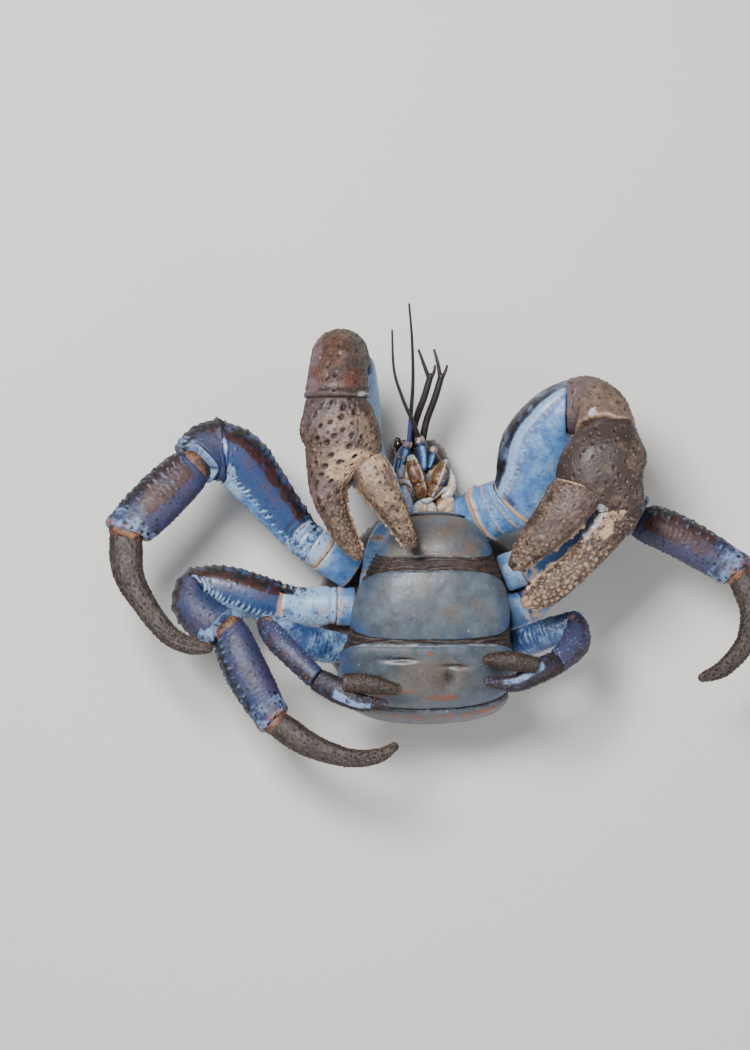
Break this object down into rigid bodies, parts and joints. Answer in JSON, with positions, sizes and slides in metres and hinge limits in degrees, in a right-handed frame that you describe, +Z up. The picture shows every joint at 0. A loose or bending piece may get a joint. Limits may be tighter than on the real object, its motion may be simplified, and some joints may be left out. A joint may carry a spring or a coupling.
{
  "type": "coconut crab",
  "caption": "Life-size still coconut crab on its back, plated abdomen curled over the breast, claws raised above it and curved walking legs spread to the sides",
  "frame": {"origin": "under the middle of the whole crab, on the surface it lies on", "axes": "+X to the crab's left side, across the body; +Y towards the head; +Z up, from the shell on the floor to the claws"},
  "size_m": [0.3758, 0.2624, 0.1485],
  "materials": {
    "carapace": "thick chitin shell, matte with a low sheen, finely pitted",
    "blue": "smooth satin chitin of the arms and upper legs, blue",
    "plate": "smooth satin chitin of the abdominal plates, grey blue",
    "claw": "thick rough chitin of the claws, pitted and warty",
    "joint": "pale thin chitin round the mouth",
    "violet": "wrinkled chitin of the lower legs, violet to dark red",
    "dactyl": "rough bristly chitin of the last leg segments",
    "membrane": "tough wrinkled skin between the plates",
    "feeler": "ringed chitin of the feelers, nearly black",
    "eye": "glossy eye on a stalk"
  },
  "bodies": {
    "root": {"carapace": "carapace", "sternum": "blue", "abdomen_soft": "membrane", "mouth_frame": "joint", "tergite_1": "plate", "tergite_2": "plate", "tergite_3": "plate", "tergite_4": "plate", "tergite_5": "plate", "maxilliped_r": "joint", "antenna_base_r": "blue", "eye_r": "eye", "antenna_r": "feeler", "antennule_r": "feeler", "cheliped_r_ischium": "blue", "cheliped_r_merus": "blue", "cheliped_r_carpus": "claw", "cheliped_r_palm": "claw", "cheliped_r_dactylus": "claw", "leg2_r_coxa": "blue", "leg2_r_merus": "blue", "leg2_r_carpus": "violet", "leg2_r_propodus": "violet", "leg2_r_dactylus": "dactyl", "leg3_r_coxa": "blue", "leg3_r_merus": "blue", "leg3_r_carpus": "violet", "leg3_r_propodus": "violet", "leg3_r_dactylus": "dactyl", "leg4_r_merus": "blue", "leg4_r_carpus": "violet", "leg4_r_palm": "violet", "leg4_r_dactylus": "dactyl", "maxilliped_l": "joint", "antenna_base_l": "blue", "eye_l": "eye", "antenna_l": "feeler", "antennule_l": "feeler", "cheliped_l_ischium": "blue", "cheliped_l_merus": "blue", "cheliped_l_carpus": "claw", "cheliped_l_palm": "claw", "cheliped_l_dactylus": "claw", "leg2_l_coxa": "blue", "leg2_l_merus": "blue", "leg2_l_carpus": "violet", "leg2_l_propodus": "violet", "leg2_l_dactylus": "dactyl", "leg3_l_coxa": "blue", "leg3_l_merus": "blue", "leg3_l_carpus": "violet", "leg3_l_propodus": "violet", "leg3_l_dactylus": "dactyl", "leg4_l_merus": "blue", "leg4_l_carpus": "violet", "leg4_l_palm": "violet", "leg4_l_dactylus": "dactyl"}
  },
  "joints": []
}
